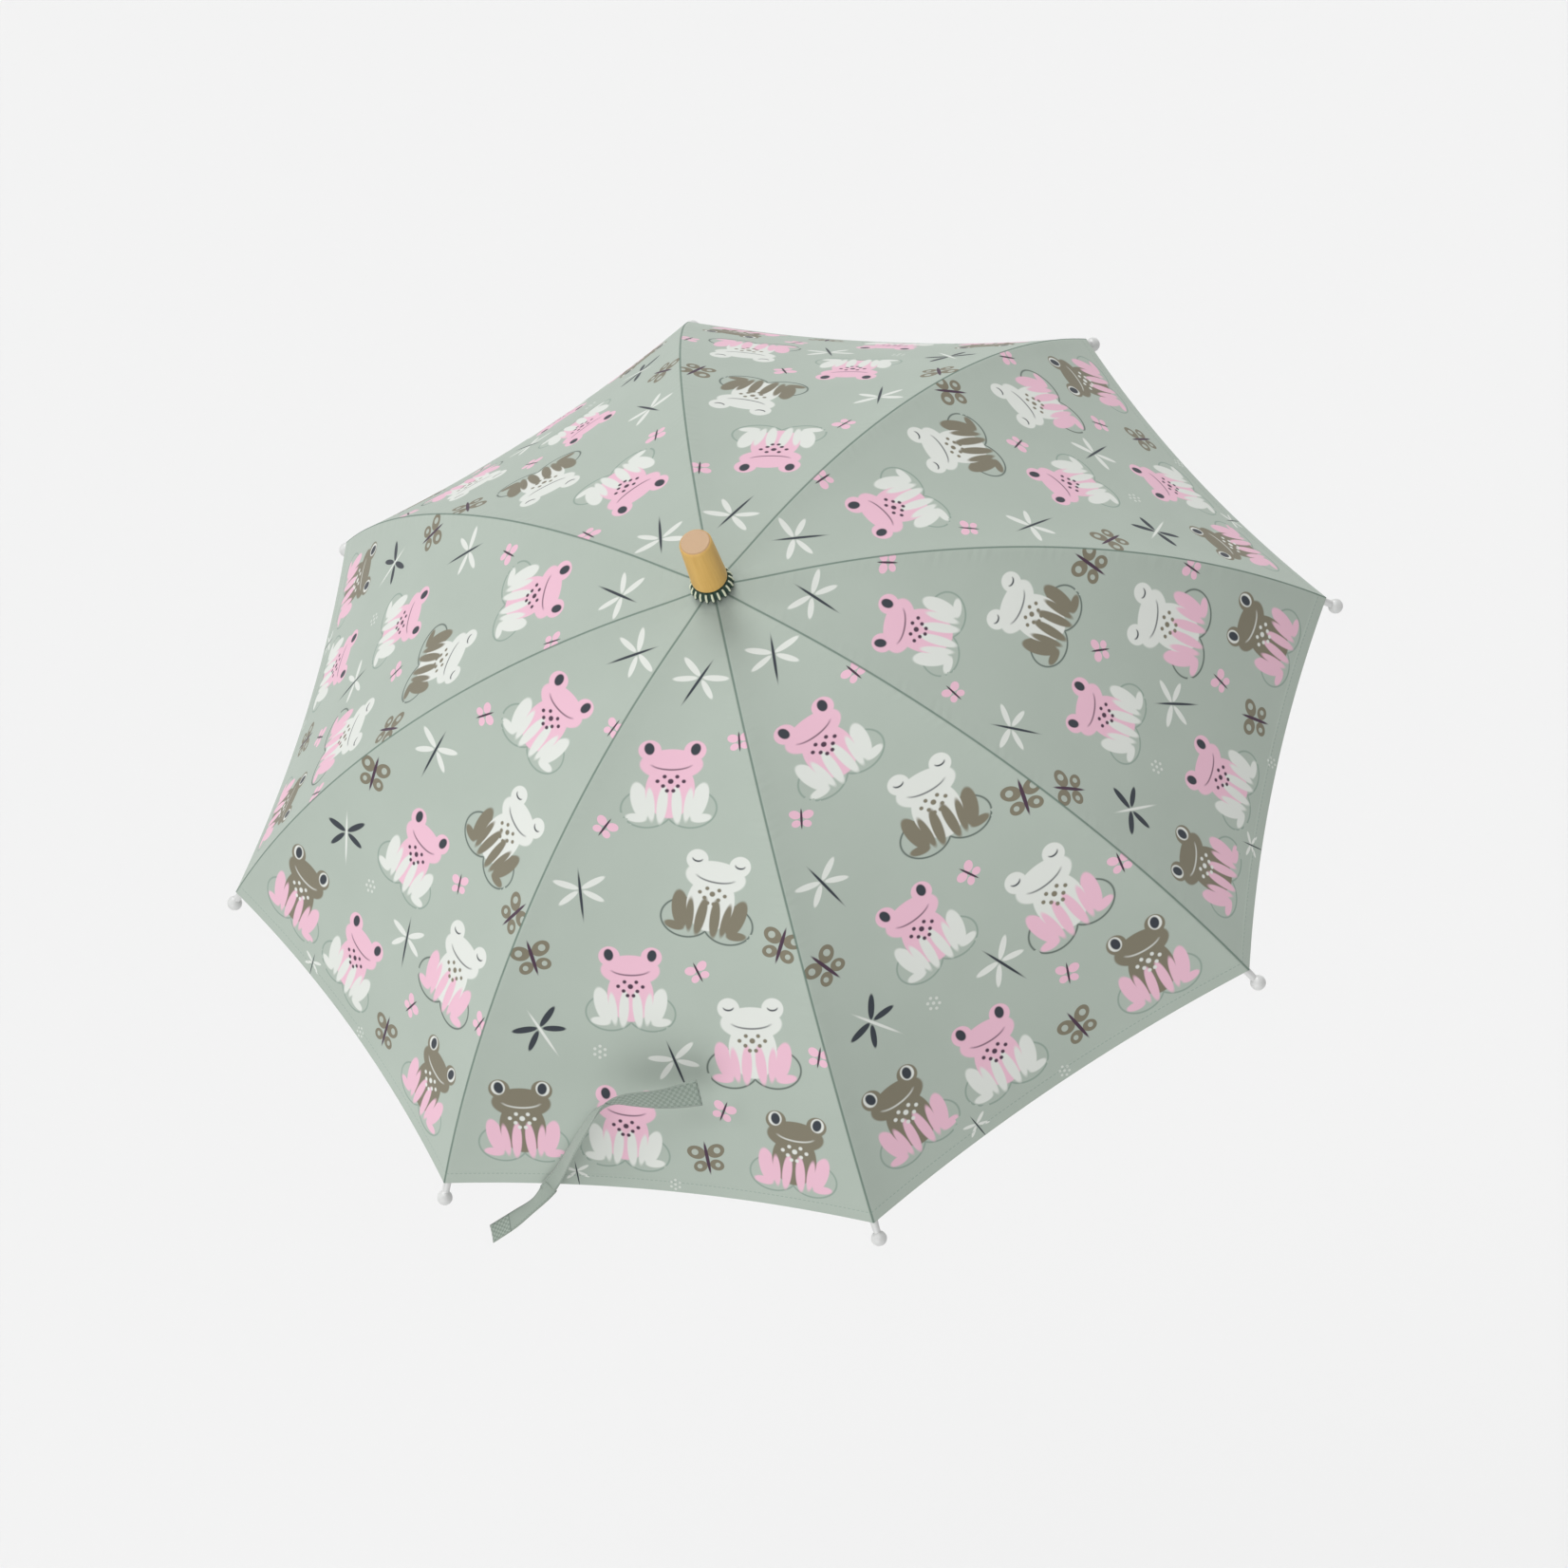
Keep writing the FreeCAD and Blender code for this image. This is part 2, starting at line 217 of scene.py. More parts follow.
def print_group():
    """Node group: cloth colour in, printed colour out, for the motif that the mesh's faces carry.

    Each motif is drawn in its own coordinates, from -1 to 1 across its height, mirrored left to right.
    """
    group = bpy.data.node_groups.new("Print", "ShaderNodeTree")
    group.interface.new_socket("Cloth", in_out="INPUT", socket_type="NodeSocketColor")
    group.interface.new_socket("Colour", in_out="OUTPUT", socket_type="NodeSocketColor")
    t = Tree(group)
    cloth = t.add("NodeGroupInput").outputs[0]
    at = t.add("ShaderNodeAttribute")
    at.attribute_name = "motif"
    x, y, kind = t.split(at.outputs["Vector"])
    mirrored = t.math("ABSOLUTE", x)

    def these(*kinds):
        found = None
        for k in kinds:
            one = t.math("COMPARE", kind, float(k), 0.4)
            found = one if found is None else t.math("ADD", found, one)
        return found

    colour = cloth

    def put(mask, paint, on=None):
        nonlocal colour
        share = mask if on is None else t.math("MULTIPLY", mask, on)
        colour = t.mix(share, colour, paint)

    def shape(*args, **kw):
        return disc(t, mirrored, y, *args, **kw)

    def crescent(outer, inner):
        return t.math("SUBTRACT", shape(*outer), shape(*inner), clamp=True)

    # frogs, seen from the front
    frogs = these(PINK_FROG, OLIVE_LEG, PINK_LEG, OLIVE_FROG)
    pale = these(OLIVE_LEG, PINK_LEG)
    pink_body, olive_body = these(PINK_FROG), these(OLIVE_FROG)
    skin = t.mix(pink_body, t.mix(olive_body, WHITE, OLIVE), PINK)
    legs = t.mix(these(PINK_LEG, OLIVE_FROG), t.mix(these(OLIVE_LEG), WHITE, OLIVE), PINK)
    pad = crescent((0.42, -0.60, 0.51, 0.42), (0.42, -0.60, 0.475, 0.385))
    put(pad, t.mix(pale, FAINT, OUTLINE), t.math("MULTIPLY", frogs, 0.85))
    put(shape(0.56, -0.44, 0.17, 0.40, turn=-14), legs, frogs)
    put(shape(0.62, -0.80, 0.20, 0.09, turn=8), legs, frogs)
    put(shape(0.0, -0.20, 0.47, 0.60), skin, frogs)
    put(shape(0.0, 0.34, 0.60, 0.33), skin, frogs)
    put(shape(0.43, 0.64, 0.215, 0.215), skin, frogs)
    put(shape(0.14, -0.52, 0.10, 0.40, turn=4), legs, frogs)
    put(shape(0.36, -0.52, 0.08, 0.35, turn=-6), legs, frogs)
    # eyes: open on the pink and olive frogs, shut on the white ones
    put(shape(0.45, 0.67, 0.140, 0.160), WHITE, olive_body)
    put(shape(0.44, 0.67, 0.095, 0.130, turn=-10), NAVY, t.math("SUBTRACT", frogs, pale))
    put(crescent((0.43, 0.66, 0.105, 0.075), (0.43, 0.695, 0.105, 0.075)), NAVY, pale)
    mouth = crescent((0.0, 0.36, 0.40, 0.15), (0.0, 0.395, 0.42, 0.15))
    put(mouth, t.mix(olive_body, t.mix(pale, PLUM, NAVY), WHITE), t.math("MULTIPLY", frogs, 0.8))
    speck = shape(0.0, -0.02, 0.055, 0.055)
    for cx, cy in ((0.12, 0.08), (0.14, -0.12), (0.25, -0.02), (0.06, -0.22)):
        speck = t.math("MAXIMUM", speck, shape(cx, cy, 0.04, 0.04))
    put(speck, t.mix(olive_body, t.mix(pale, PLUM, OLIVE), WHITE), frogs)

    # dragonflies
    flies = these(FLY, DARK_FLY)
    wings = t.mix(these(DARK_FLY), WHITE, NAVY)
    put(shape(0.48, 0.40, 0.46, 0.12, turn=24), wings, flies)
    put(shape(0.44, -0.12, 0.42, 0.11, turn=-34), wings, flies)
    put(shape(0.0, -0.05, 0.050, 0.90), t.mix(these(DARK_FLY), NAVY, WHITE), flies)

    # moths
    moths = these(MOTH, OLIVE_MOTH)
    put(shape(0.50, 0.36, 0.46, 0.36, turn=24), t.mix(these(MOTH), OLIVE, PINK), moths)
    put(shape(0.42, -0.42, 0.36, 0.30, turn=-24), t.mix(these(MOTH), OLIVE, PINK), moths)
    put(shape(0.56, 0.38, 0.17, 0.17), SAGE, these(OLIVE_MOTH))
    put(shape(0.46, -0.42, 0.13, 0.13), SAGE, these(OLIVE_MOTH))
    put(shape(0.0, 0.0, 0.09, 0.86), PLUM, moths)

    # clusters of dots
    cluster = shape(0.0, 0.0, 0.17, 0.17)
    for cx, cy in ((0.50, 0.28), (0.50, -0.32), (0.0, 0.60), (0.0, -0.62)):
        cluster = t.math("MAXIMUM", cluster, shape(cx, cy, 0.16, 0.16))
    put(cluster, WHITE, t.math("MULTIPLY", these(DOTS), 0.7))
    t.plug(t.add("NodeGroupOutput").inputs[0], colour)
    return group


PRINT = print_group()


def cloth_material(name, outside):
    mat, t, shader = material(name)
    uv = t.add("ShaderNodeUVMap")
    uv.uv_map = "Pattern"
    x, y, _ = t.split(uv.outputs[0])
    # distances to the rib's seam and to the hem, in m
    seam_at, hem_at = t.add("ShaderNodeAttribute"), t.add("ShaderNodeAttribute")
    seam_at.attribute_name, hem_at.attribute_name = "seam", "hem"
    seam, hem = seam_at.outputs["Fac"], hem_at.outputs["Fac"]
    base = t.mix(t.noise(uv.outputs[0], 14.0, 3.0), srgb("#98A299"), srgb("#A0AAA1"))
    if not outside:
        base = t.mix(0.5, base, srgb("#C6CEC7"))
    printed = t.add("ShaderNodeGroup")
    printed.node_tree = PRINT
    t.plug(printed.inputs[0], base)
    # the print shows through faintly on the inside
    colour = printed.outputs[0] if outside else t.mix(0.22, base, printed.outputs[0])
    # the seam over each rib, and the stitched hem
    colour = t.mix(t.ramp(seam, 0.0003, 0.0011, 0.85, 0.0), colour, srgb("#5C6F65"))
    stitch = t.math("GREATER_THAN", t.math("SINE", t.math("MULTIPLY", x, 2200.0)), -0.3)
    line = t.math("LESS_THAN", t.math("ABSOLUTE", t.math("SUBTRACT", hem, 0.0065)), 0.0003)
    colour = t.mix(t.math("MULTIPLY", t.math("MULTIPLY", stitch, line), 0.5), colour, srgb("#7A8B81"))
    setup(shader, None, 0.0, 0.78, 0.25, 0.12)
    t.plug(shader.inputs["Base Color"], colour)
    # relief: puckers beside the seams, the hem's fold and the weave
    along = t.join(y, t.math("MULTIPLY", seam, 0.12))
    pucker = t.math("MULTIPLY", t.noise(along, 170.0, 1.0), t.ramp(seam, 0.001, 0.014, 1.0, 0.0))
    gather = t.math("MULTIPLY", t.noise(t.join(x, t.math("MULTIPLY", hem, 0.15)), 150.0, 1.0),
                    t.ramp(hem, 0.001, 0.012, 1.0, 0.0))
    ridge = t.ramp(seam, 0.0, 0.0016, 0.0, 1.0)
    fold = t.ramp(hem, 0.0072, 0.0082, 1.0, 0.0)
    weave = t.math("MULTIPLY", t.math("SINE", t.math("MULTIPLY", x, 9000.0)),
                   t.math("SINE", t.math("MULTIPLY", y, 9000.0)))
    height = t.math("ADD", t.math("MULTIPLY", pucker, 0.9), t.math("MULTIPLY", gather, 0.35))
    height = t.math("MULTIPLY_ADD", ridge, 0.5, height)
    height = t.math("MULTIPLY_ADD", fold, 0.22, height)
    height = t.math("MULTIPLY_ADD", weave, 0.02, height)
    bump = t.add("ShaderNodeBump", Height=height, Distance=0.0012, Strength=0.6)
    t.plug(shader.inputs["Normal"], bump.outputs[0])
    return mat


CLOTH_OUT = cloth_material("Canopy outside", True)
CLOTH_IN = cloth_material("Canopy inside", False)


# ---------------------------------------------------------------- canopy
def hem_angle(u):
    """Angle of the hem from the top of the ribs' sphere."""
    return A_HEM * (1 - (1 - HEM_RISE) * (1 - u * u))


def cloth_point(v, u):
    """Panel surface with its middle along +X: v from crown to hem, u from rib (-1) to rib (+1)."""
    a = A_CROWN + (hem_angle(u) - A_CROWN) * v
    r = CLOTH_R * np.sin(a)
    z = ARC_Z + CLOTH_R * np.cos(a) + CROWN_LIFT * np.exp(-((r / CROWN_SPREAD) ** 2))
    sink = SAG * (1 - u * u) * np.sin(SAG_TURN * v)
    x = r * math.cos(HALF) - sink * np.sin(a)
    return np.stack([x, u * r * math.sin(HALF), z - sink * np.cos(a)], -1), a


def half_panel(name, panel, side):
    """Half a panel as a thin closed cloth, from its rib (side -1 or +1) to its middle.

    Returns the piece and each vertex's share of the rib's motion.
    """
    v, u = np.meshgrid(np.linspace(0, 1, ROWS + 1), np.linspace(-1, 0, COLS + 1), indexing="ij")
    if side > 0:
        u = u[:, ::-1] * -1
    outer, a = cloth_point(v, u)
    step = 1e-4
    dv = cloth_point(v + step, u)[0] - cloth_point(v - step, u)[0]
    du = cloth_point(v, u + step)[0] - cloth_point(v, u - step)[0]
    normal = np.cross(dv, du)
    normal /= np.linalg.norm(normal, axis=-1, keepdims=True)
    inner = outer - normal * CLOTH_THICK
    points = spin(np.concatenate([outer.reshape(-1, 3), inner.reshape(-1, 3)]), 45 * panel)

    # two layers of quads and the wall around their rim
    count = (ROWS + 1) * (COLS + 1)
    index = np.arange(count).reshape(ROWS + 1, COLS + 1)
    quads = np.stack([index[:-1, :-1], index[1:, :-1], index[1:, 1:], index[:-1, 1:]], -1).reshape(-1, 4)
    rim = np.concatenate([index[0, :-1], index[:-1, -1], index[-1, :0:-1], index[:0:-1, 0]])
    after = np.roll(rim, -1)
    walls = np.stack([rim, after, after + count, rim + count], -1)
    faces = np.concatenate([quads, quads[:, ::-1] + count, walls])
    mesh = bpy.data.meshes.new(name)
    mesh.from_pydata(points.tolist(), [], faces.tolist())
    slot = np.concatenate([np.zeros(len(quads)), np.ones(len(quads)), np.zeros(len(walls))])
    mesh.polygons.foreach_set("material_index", slot.astype(np.int32))
    mesh.polygons.foreach_set("use_smooth", np.ones(len(faces), bool))
    mesh.materials.append(CLOTH_OUT)
    mesh.materials.append(CLOTH_IN)

    # pattern coordinates of the flat cloth, distances to seam and hem
    half = CLOTH_R * np.sin(a) * math.sin(HALF)
    flat_x, flat_y = u * half, CLOTH_R * a
    seam = (1 - np.abs(u)) * half
    hem = CLOTH_R * (A_CROWN + (hem_angle(u) - A_CROWN) - a)

    def both(field):
        """A grid of values, for the vertices of both layers."""
        return np.tile(field.reshape(-1), 2).astype(np.float32)

    for key, field in (("seam", seam), ("hem", hem)):
        mesh.attributes.new(key, "FLOAT", "POINT").data.foreach_set("value", both(field))
    corner = np.zeros(len(mesh.loops), np.int32)
    mesh.loops.foreach_get("vertex_index", corner)
    flat = np.stack([both(flat_x), both(flat_y)], -1)[corner]
    mesh.uv_layers.new(name="Pattern").data.foreach_set("uv", flat.astype(np.float32).ravel())

    # each face carries the motif nearest to it, in the motif's own coordinates
    middle = flat.reshape(-1, 4, 2).mean(1)
    table = np.array(LAYOUT, float)
    far = np.linalg.norm(middle[:, None] - table[None, :, 1:3], axis=2) - table[None, :, 3]
    mine = np.repeat(table[far.argmin(1)], 4, axis=0)
    angle = np.radians(mine[:, 4])
    dx, dy = flat[:, 0] - mine[:, 1], mine[:, 2] - flat[:, 1]
    local = np.stack([
        (dx * np.cos(angle) + dy * np.sin(angle)) / (mine[:, 3] * ASPECT),
        (dy * np.cos(angle) - dx * np.sin(angle)) / mine[:, 3],
        mine[:, 0],
    ], -1)
    carried = mesh.attributes.new("motif", "FLOAT_VECTOR", "CORNER")
    carried.data.foreach_set("vector", local.astype(np.float32).ravel())

    # crisp edges between the faces and the rim
    pairs = np.concatenate([np.stack([rim, after], -1), np.stack([rim, after], -1) + count])
    on_rim = {tuple(sorted(pair)) for pair in pairs.tolist()}
    for e in mesh.edges:
        if tuple(sorted(e.vertices)) in on_rim:
            e.use_edge_sharp = True
    return add_object(name, mesh), both(1 - np.abs(u))


def bend(piece, weight):
    """Bakes the piece's placement into its mesh; the piece is not bent. weight is not used."""
    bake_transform(piece)


for panel in range(1, 9):
    for letter, side, rib in (("a", -1, panel), ("b", 1, panel % 8 + 1)):
        body = "panel_%d%s" % (panel, letter)
        piece, weight = half_panel("cloth_%d%s" % (panel, letter), panel, side)
        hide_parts(body)
        bend(piece, weight)

# ---------------------------------------------------------------- strap
# stations: middle of the band (mm), direction of its width, width (mm), with the panel's middle along +X
HOOK_TAIL = [
    ((326.4, -71.0, 342.4), (0.00, 1.00, 0.00), 9.0),
    ((322.2, -61.1, 355.3), (0.54, 0.78, 0.32), 10.0),
    ((314.9, -50.0, 372.1), (0.55, 0.60, 0.58), 13.0),
    ((307.7, -40.2, 386.3), (0.53, 0.54, 0.66), 15.0),
    ((301.2, -31.0, 397.6), (0.51, 0.45, 0.74), 16.0),
    ((296.8, -21.6, 403.4), (0.35, 0.27, 0.90), 16.0),
    ((294.5, -9.6, 405.7), (0.03, 0.15, 0.99), 16.0),
    ((292.2, 10.8, 406.4), (-0.27, 0.10, 0.96), 16.0),
    ((286.9, 33.3, 408.7), (-0.73, 0.04, 0.69), 16.0),
]
LOOP_TAIL = [
    ((325.2, -67.2, 346.2), (0.00, 1.00, 0.00), 9.5),
    ((332.7, -78.2, 335.9), (0.65, 0.70, 0.29), 10.0),
    ((339.2, -92.0, 326.2), (0.70, 0.69, 0.20), 12.0),
    ((344.7, -109.4, 313.8), (0.73, 0.67, 0.10), 12.0),
]
STITCHED = 0.494  # share of the rib's motion at the stitch on the hem


def strap_material(name, patch_from, patch_tint):
    """Woven tape, with the fastener's patch from patch_from (m) to the tail's end."""
    mat, t, shader = material(name)
    uv = t.add("ShaderNodeUVMap")
    uv.uv_map = "Band"
    across, along, _ = t.split(uv.outputs[0])
    side = t.math("ABSOLUTE", across)
    base = t.mix(t.noise(uv.outputs[0], 60.0, 3.0), srgb("#7F8A81"), srgb("#919A91"))
    dash = t.math("GREATER_THAN", t.math("SINE", t.math("MULTIPLY", along, 2800.0)), -0.2)
    row = t.math("LESS_THAN", t.math("ABSOLUTE", t.math("SUBTRACT", side, 0.80)), 0.035)
    base = t.mix(t.math("MULTIPLY", t.math("MULTIPLY", dash, row), 0.55), base, srgb("#5F6D64"))
    cells = t.join(t.math("MULTIPLY", across, 4.0), t.math("MULTIPLY", along, 520.0))
    check = t.add("ShaderNodeTexChecker", Vector=cells, Scale=1.0)
    hooks = t.mix(check.outputs["Fac"], srgb(patch_tint), srgb("#67766C"))
    patch = t.math("MULTIPLY", t.math("GREATER_THAN", along, patch_from),
                   t.math("LESS_THAN", side, 0.88))
    seam = t.math("LESS_THAN", t.math("ABSOLUTE", t.math("SUBTRACT", along, patch_from)), 0.0004)
    colour = t.mix(t.math("MULTIPLY", patch, 0.5), base, hooks)
    colour = t.mix(t.math("MULTIPLY", seam, 0.7), colour, srgb("#55625A"))
    setup(shader, None, 0.0, 0.8, 0.2, 0.15)
    t.plug(shader.inputs["Base Color"], colour)
    rough = t.math("MULTIPLY", t.math("MULTIPLY", check.outputs["Fac"], patch), 0.5)
    rib = t.math("MULTIPLY", t.math("SINE", t.math("MULTIPLY", along, 6000.0)), 0.1)
    edge = t.ramp(side, 0.86, 1.0, 0.0, 0.5)
    height = t.math("ADD", t.math("ADD", rough, rib), edge)
    bump = t.add("ShaderNodeBump", Height=height, Distance=0.0006, Strength=0.6)
    t.plug(shader.inputs["Normal"], bump.outputs[0])
    return mat


def smooth_path(values, steps):
    """Catmull-Rom through the rows of values, with steps points a span."""
    padded = np.vstack([2 * values[0] - values[1], values, 2 * values[-1] - values[-2]])
    out = []
    for k in range(1, len(padded) - 2):
        p, q, r, s = padded[k - 1:k + 3]
        last = k == len(padded) - 3
        for w in np.linspace(0, 1, steps + 1)[:None if last else -1]:
            out.append(0.5 * (2 * q + (r - p) * w + (2 * p - 5 * q + 4 * r - s) * w**2
                              + (3 * q - p - 3 * r + s) * w**3))
    return np.array(out)


def band(name, stations, mat, follow, thick=0.0008, cells=8):
    """One tail of the strap as a closed band through its stations, in place on panel 6."""
    table = np.array([(*m, *d, w) for m, d, w in stations], float)
    path = smooth_path(table, 12)
    middle, across, wide = path[:, :3] / 1000, path[:, 3:6], path[:, 6] / 1000
    along = np.gradient(middle, axis=0)
    along /= np.linalg.norm(along, axis=1, keepdims=True)
    across -= along * (across * along).sum(1, keepdims=True)
    across /= np.linalg.norm(across, axis=1, keepdims=True)
    face = np.cross(along, across)
    far = np.concatenate([[0], np.cumsum(np.linalg.norm(np.diff(middle, axis=0), axis=1))])
    # section of the band: round edges, both faces
    upper = [(x, 1.0 if abs(x) < 0.97 else 0.45) for x in np.linspace(-1, 1, cells + 1)]
    ring = upper + [(x, -h) for x, h in upper[::-1]]
    n = len(ring)
    points, coords = [], []
    for k in range(len(middle)):
        for x, h in ring:
            curl = 0.0006 * (1 - x * x) * math.sin(far[k] * 90)
            points.append(middle[k] + across[k] * x * wide[k] / 2 + face[k] * (h * thick / 2 + curl))
            coords.append((x, far[k]))
    rows = len(middle)
    faces = [(k * n + j, k * n + (j + 1) % n, (k + 1) * n + (j + 1) % n, (k + 1) * n + j)
             for k in range(rows - 1) for j in range(n)]
    faces.append(tuple(range(n))[::-1])
    faces.append(tuple((rows - 1) * n + j for j in range(n)))
    points = np.array(points)
    mesh = bpy.data.meshes.new(name)
    mesh.from_pydata(spin(points, 270).tolist(), [], faces)
    corner = np.zeros(len(mesh.loops), np.int32)
    mesh.loops.foreach_get("vertex_index", corner)
    mesh.uv_layers.new(name="Band").data.foreach_set("uv", np.array(coords, np.float32)[corner].ravel())
    for f in mesh.polygons:
        f.use_smooth = len(f.vertices) == 4
    mesh.materials.append(mat)
    piece = add_object(name, mesh)
    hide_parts("strap_" + name)
    bend(piece, follow(points))
    return piece


def over_cloth(points):
    """Each point's share of the rib's motion: that of the cloth beneath it, and from the stitch on that
    of the stitch.
    """
    across = points[:, 1] / (points[:, 0] * math.tan(HALF))
    return np.clip(1 + across, STITCHED, 1)


def from_stitch(points):
    """The stitch's share of the rib's motion, for every point of the tail."""
    return np.full(len(points), STITCHED)


hook = band("hook_tail", HOOK_TAIL, strap_material("Hook tail", 0.086, "#8B978D"), over_cloth)
loop = band("loop_tail", LOOP_TAIL, strap_material("Loop tail", 0.040, "#9AA69B"), from_stitch)

# ---------------------------------------------------------------- frame materials
def object_place(t):
    """The point in the piece's own coordinates, in m."""
    return t.add("ShaderNodeTexCoord").outputs["Object"]


def metal(name, tint, rough):
    mat, t, shader = material(name)
    x, y, z = t.split(object_place(t))
    smear = t.noise(t.join(x, y, t.math("MULTIPLY", z, 0.04)), 420.0, 2.0)
    setup(shader, None, 0.9, rough)
    tint = t.mix(t.math("MULTIPLY", smear, 0.3), srgb(tint), srgb("#E4E5E6"))
    t.plug(shader.inputs["Base Color"], tint)
    t.plug(shader.inputs["Roughness"], t.math("MULTIPLY_ADD", smear, 0.08, rough))
    return mat


def plastic(name, tint, rough):
    mat, t, shader = material(name)
    share = t.math("MULTIPLY", t.noise(object_place(t), 90.0), 0.25)
    setup(shader, None, 0.0, rough, 0.5)
    t.plug(shader.inputs["Base Color"], t.mix(share, srgb(tint), srgb("#F1F1EF")))
    return mat


def wood(name):
    mat, t, shader = material(name)
    x, y, z = t.split(object_place(t))
    stretched = t.join(x, y, t.math("MULTIPLY", z, 0.08))
    fibre = t.noise(stretched, 900.0, 4.0, 0.6)
    broad = t.noise(stretched, 160.0, 3.0, 0.6)
    tint = t.mix(broad, srgb("#D2AB62"), srgb("#B68C45"))
    tint = t.mix(t.math("MULTIPLY", fibre, 0.35), tint, srgb("#8C6935"))
    setup(shader, None, 0.0, 0.42, 0.45)
    t.plug(shader.inputs["Base Color"], tint)
    bump = t.add("ShaderNodeBump", Height=fibre, Distance=0.0002, Strength=0.4)
    t.plug(shader.inputs["Normal"], bump.outputs[0])
    return mat


def ferrule_wood():
    """Wood with its long grain down the side and its end grain on the top face."""
    mat, t, shader = material("Ferrule wood")
    x, y, z = t.split(object_place(t))
    stretched = t.join(x, y, t.math("MULTIPLY", z, 0.06))
    fibre = t.noise(stretched, 1100.0, 4.0, 0.6)
    broad = t.noise(stretched, 220.0, 2.0, 0.6)
    side = t.mix(broad, srgb("#D9B368"), srgb("#BE9449"))
    side = t.mix(t.math("MULTIPLY", fibre, 0.30), side, srgb("#93703A"))
    grain = t.noise(t.join(x, y, 0.0), 1500.0, 3.0, 0.7)
    cut = t.mix(grain, srgb("#BA9873"), srgb("#9C7C58"))
    on_end = t.ramp(z, 0.5634, 0.5638)
    setup(shader, None, 0.0, 0.45, 0.4)
    t.plug(shader.inputs["Base Color"], t.mix(on_end, side, cut))
    bump = t.add("ShaderNodeBump", Height=t.mix(on_end, fibre, grain), Distance=0.0002, Strength=0.4)
    t.plug(shader.inputs["Normal"], bump.outputs[0])
    return mat


STEEL = metal("Rib steel", "#B4B7B9", 0.36)
TUBE = metal("Shaft tube", "#D0D3D5", 0.26)
TIP = plastic("Tip plastic", "#B9BAB9", 0.3)
HUB = plastic("Hub plastic", "#DCDCD8", 0.42)
WOOD = wood("Handle wood")
FERRULE = ferrule_wood()


def dress(node, mat):
    """mat on one of the frame's own pieces."""
    mesh = nodes[node].data
    mesh.materials.clear()
    mesh.materials.append(mat)


for number in range(1, 9):
    dress("rib_%d" % number, STEEL)
    dress("stretcher_%d" % number, STEEL)
    dress("rivet_%d" % number, TUBE)
    dress("rib_tip_%d" % number, TIP)
for name, mat in (("shaft", TUBE), ("open_catch", TUBE), ("closed_catch", TUBE),
                  ("notch_ring", STEEL), ("runner_ring", STEEL), ("top_notch", HUB),
                  ("runner", HUB), ("handle", WOOD), ("ferrule", FERRULE)):
    dress(name, mat)


# ---------------------------------------------------------------- rosette of pleated cloth
def pleated_material():
    """Painted shade between the pleats, on the underside and near the middle; painted highlight on the
    crests at the outer rim.
    """
    mat, t, shader = material("Rosette cloth")
    at = t.add("ShaderNodeAttribute")
    at.attribute_name = "painted_pleat_light"
    setup(shader, None, 0.0, 0.8, 0.2, 0.1)
    # the cloth's colour is only painted shade (dark) and painted highlight (pale), set by the pleats'
    # painted light level
    tint = t.mix(t.ramp(at.outputs["Fac"], 0.62, 0.85), srgb("#33493E"), srgb("#C9CDB4"))
    t.plug(shader.inputs["Base Color"], tint)
    return mat


def rosette():
    pleats = 20
    ring = pleats * 10
    # radius and height of the section, in m
    profile = [(0.0050, 0.5251), (0.0098, 0.5253), (0.0112, 0.5247), (0.0122, 0.5230),
               (0.0127, 0.5205), (0.0124, 0.5186), (0.0110, 0.5180), (0.0050, 0.5180)]
    points, faces, painted_pleat_light = [], [], []
    for r, z in profile:
        deep = 0.0011 * min(1.0, max(0.0, (r - 0.009) / 0.003))
        for n in range(ring):
            a = 2 * math.pi * n / ring
            wave = math.cos(a * pleats)
            rr = r + deep * wave
            points.append((rr * math.cos(a), rr * math.sin(a), z))
            # painted highlight on the crests of the upper outer rows, painted shade on every other row
            painted_pleat_light.append(0.5 + 0.5 * wave if 0.0105 < r and z > 0.520 else 0.2)
    rows = len(profile)
    for k in range(rows):
        for n in range(ring):
            b, c = (k + 1) % rows, (n + 1) % ring
            faces.append((k * ring + n, b * ring + n, b * ring + c, k * ring + c))
    mesh = bpy.data.meshes.new("rosette_cloth")
    mesh.from_pydata(points, [], faces)
    mesh.attributes.new("painted_pleat_light", "FLOAT", "POINT").data.foreach_set("value", np.array(painted_pleat_light, np.float32))
    mesh.materials.append(pleated_material())
    for f in mesh.polygons:
        f.use_smooth = True
    piece = add_object("rosette_cloth", mesh)
    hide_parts("rosette")
    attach(piece, "shaft")


rosette()

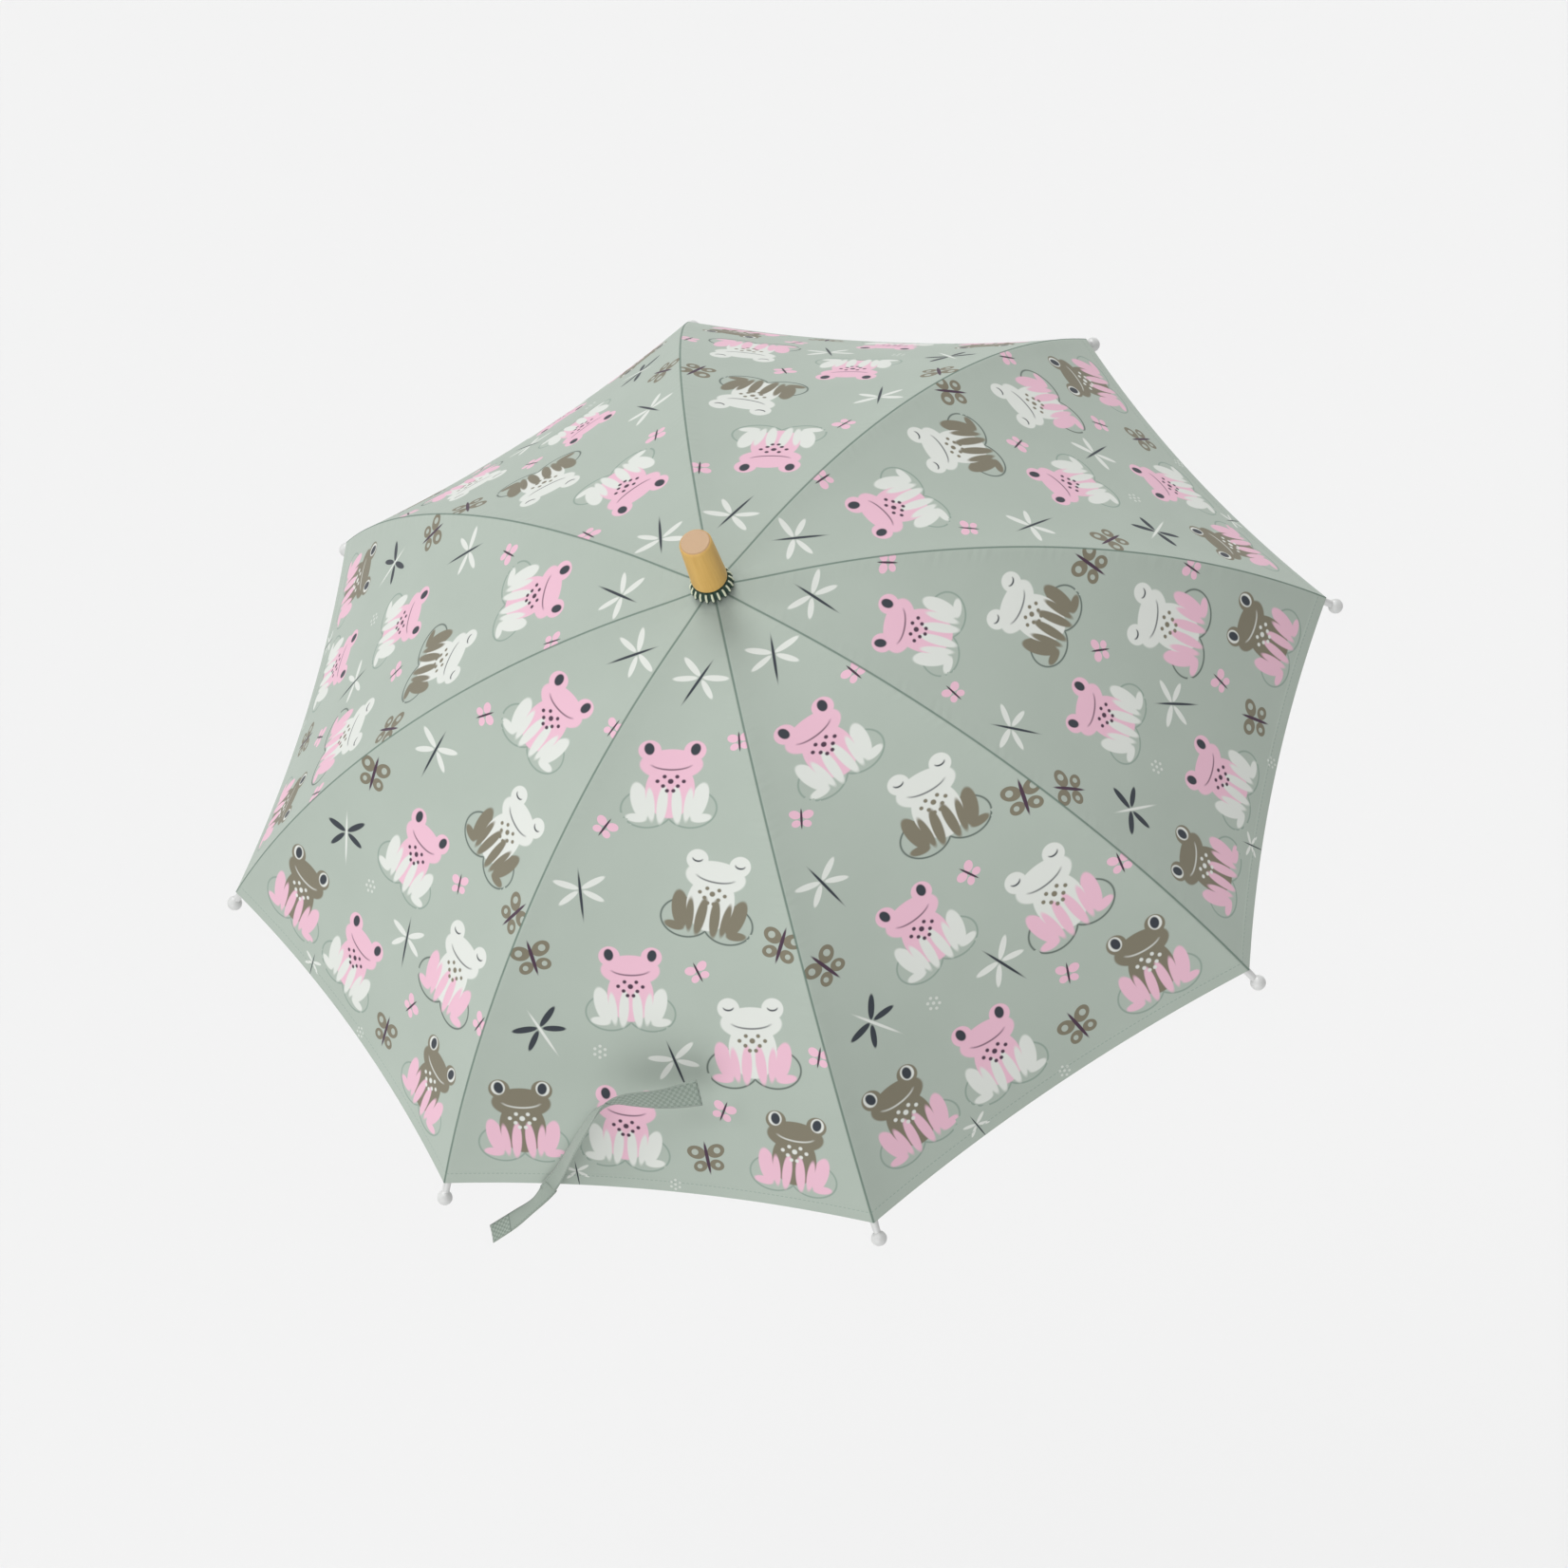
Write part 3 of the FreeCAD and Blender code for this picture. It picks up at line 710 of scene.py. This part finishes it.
# ---------------------------------------------------------------- stage, light and camera
def floor():
    half, z = 15.0, -2.5
    mesh = bpy.data.meshes.new("floor")
    corners = [(-half, -half, z), (half, -half, z), (half, half, z), (-half, half, z)]
    mesh.from_pydata(corners, [], [(0, 1, 2, 3)])
    mat, _, shader = material("Floor")
    setup(shader, srgb("#D6D6D6"), 0.0, 0.9, 0.0)
    mesh.materials.append(mat)
    piece = add_object("floor", mesh)


floor()
scene = bpy.context.scene
world = bpy.data.worlds.new("Studio")
world.use_nodes = True
# white light, stronger near the horizon than above
sky = Tree(world.node_tree)
background = world.node_tree.nodes["Background"]
height = sky.split(sky.add("ShaderNodeTexCoord").outputs["Generated"])[2]
sky.plug(background.inputs["Color"], (1.0, 1.0, 1.0, 1.0))
sky.plug(background.inputs["Strength"], sky.ramp(height, 0.08, 0.55, 0.887, 0.25))
scene.world = world
scene.view_settings.view_transform = "Standard"

# the camera's own axes
RIGHT = Vector((0.9510715, 0.2178518, -0.2190971))
UPWARD = Vector((-0.0652882, 0.8348082, 0.5466560))
BACK = Vector((0.3019941, -0.5056045, 0.8081854))


def sun(name, way, power, spread):
    """A light from far off, from the direction way, as wide as spread (degrees)."""
    data = bpy.data.lights.new(name, "SUN")
    data.energy = power
    data.angle = math.radians(spread)
    piece = add_object(name, data)
    piece.rotation_mode = "QUATERNION"
    piece.rotation_quaternion = Vector(way).to_track_quat("Z", "Y")


sun("overhead", (0.0, 0.02, 1.0), 1.10, 45)
sun("front softbox", (-0.144, -0.965, 0.219), 1.67, 60)
sun("back softbox", (-0.285, 0.583, 0.761), 1.86, 30)
sun("key", (-0.70, -0.10, 0.70), 0.35, 10)

cam_data = bpy.data.cameras.new("camera")
cam_data.sensor_width = 36.0
cam_data.lens = 129.182
cam_data.clip_end = 50.0
camera = add_object("camera", cam_data)
turn = Matrix((RIGHT, UPWARD, BACK)).transposed().to_4x4()
camera.matrix_world = Matrix.Translation((1.07263, -1.80447, 3.18372)) @ turn
scene.camera = camera
